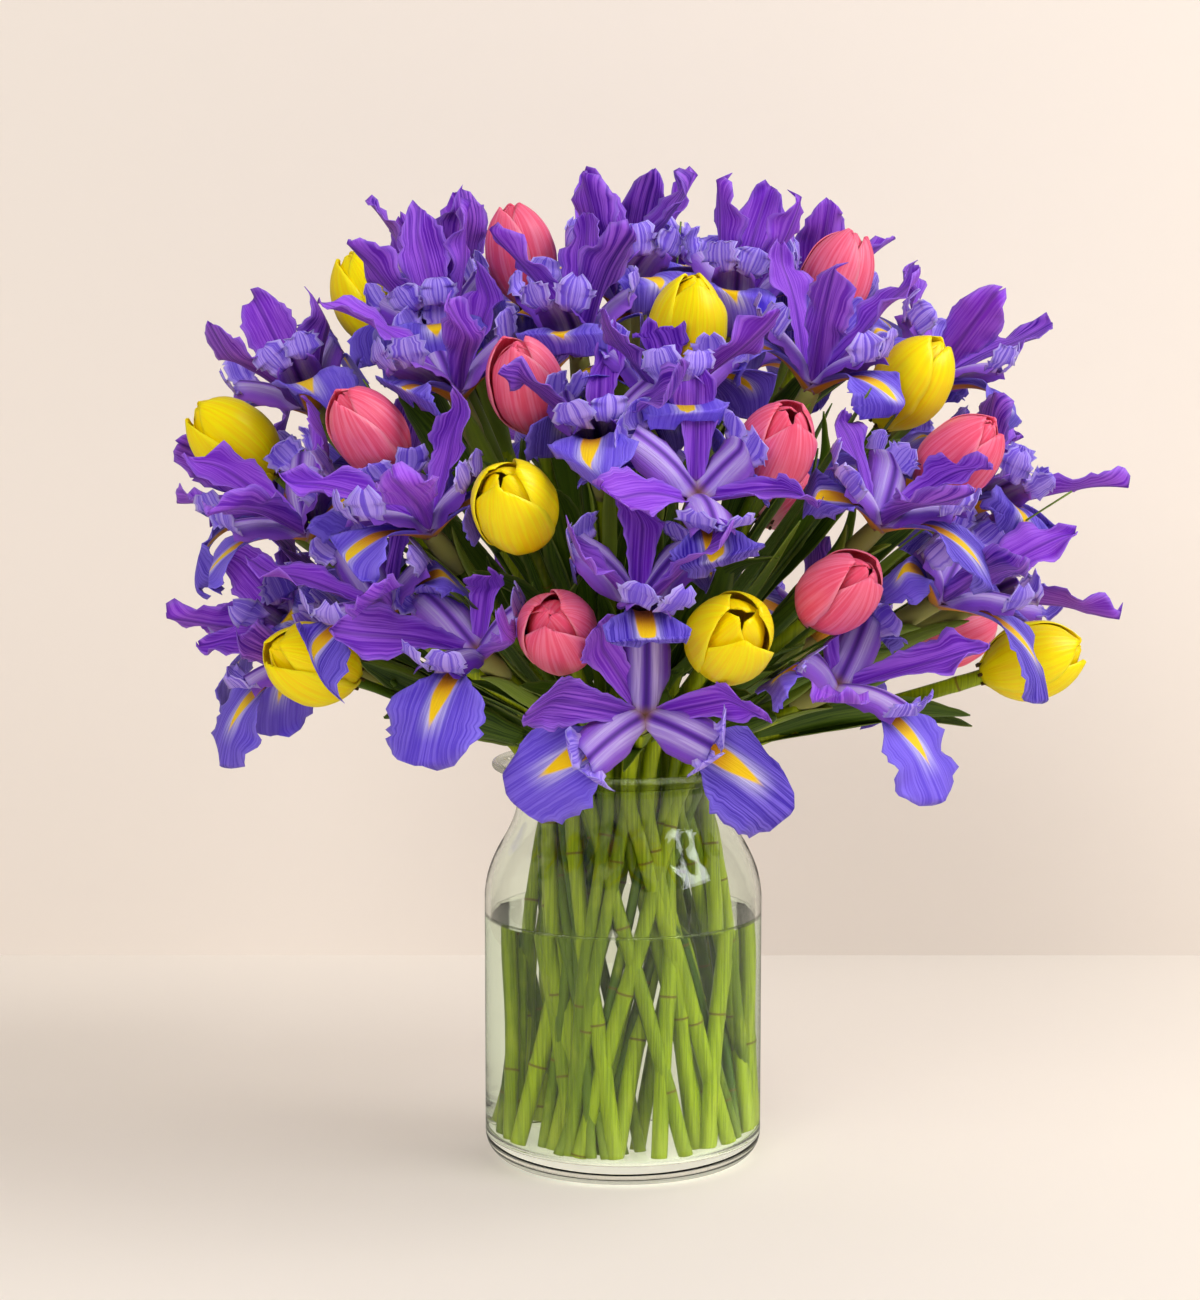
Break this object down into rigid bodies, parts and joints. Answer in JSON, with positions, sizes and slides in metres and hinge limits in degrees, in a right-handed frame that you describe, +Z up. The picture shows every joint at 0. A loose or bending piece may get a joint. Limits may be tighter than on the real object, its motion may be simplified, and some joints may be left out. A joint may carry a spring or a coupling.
{
  "type": "irises in a vase",
  "caption": "Dense round bouquet of open purple irises mixed with yellow and pink tulips, its cut stems standing in water in a clear shouldered glass jar vase.",
  "frame": {"origin": "centre of the vase's underside, on the surface it stands on", "axes": "+Z up through the vase's mouth, -Y towards the front of the bouquet, +X to the right as seen from the front"},
  "size_m": [0.5097, 0.4773, 0.5356],
  "materials": {
    "glass": "clear",
    "water": "clear",
    "green": "satin",
    "iris_petals": "matte",
    "yellow_petals": "satin",
    "pink_petals": "satin"
  },
  "bodies": {
    "root": {"glass_vase": "glass", "iris_back_left": "iris_petals", "iris_back_low_left": "iris_petals", "iris_back_low_right": "iris_petals", "iris_back_low_side": "iris_petals", "iris_back_middle": "iris_petals", "iris_back_right": "iris_petals", "iris_back_upper_left": "iris_petals", "iris_back_upper_right": "iris_petals", "iris_centre_left": "iris_petals", "iris_centre_low": "iris_petals", "iris_centre_star": "iris_petals", "iris_crown": "iris_petals", "iris_crown_front": "iris_petals", "iris_crown_left": "iris_petals", "iris_crown_right": "iris_petals", "iris_far_left": "iris_petals", "iris_far_left_low": "iris_petals", "iris_far_right": "iris_petals", "iris_far_right_low": "iris_petals", "iris_front_left": "iris_petals", "iris_front_right": "iris_petals", "iris_front_star": "iris_petals", "iris_left_arch": "iris_petals", "iris_left_hang": "iris_petals", "iris_left_low": "iris_petals", "iris_left_mid": "iris_petals", "iris_left_wing": "iris_petals", "iris_right_low": "iris_petals", "iris_right_mid": "iris_petals", "iris_right_wing": "iris_petals", "iris_shoulder_left": "iris_petals", "iris_shoulder_right": "iris_petals", "iris_upper_centre": "iris_petals", "iris_upper_far_left": "iris_petals", "iris_upper_left": "iris_petals", "iris_upper_middle": "iris_petals", "iris_upper_right": "iris_petals", "stems": "green", "tulip_pink_back": "pink_petals", "tulip_pink_back_side": "pink_petals", "tulip_pink_centre_left": "pink_petals", "tulip_pink_centre_right": "pink_petals", "tulip_pink_left": "pink_petals", "tulip_pink_low_left": "pink_petals", "tulip_pink_low_right": "pink_petals", "tulip_pink_right": "pink_petals", "tulip_pink_upper_left": "pink_petals", "tulip_pink_upper_right": "pink_petals", "tulip_yellow_back": "yellow_petals", "tulip_yellow_centre": "yellow_petals", "tulip_yellow_far_left": "yellow_petals", "tulip_yellow_far_right": "yellow_petals", "tulip_yellow_low_left": "yellow_petals", "tulip_yellow_low_right": "yellow_petals", "tulip_yellow_upper_left": "yellow_petals", "tulip_yellow_upper_middle": "yellow_petals", "tulip_yellow_upper_right": "yellow_petals", "water": "water"}
  },
  "joints": []
}
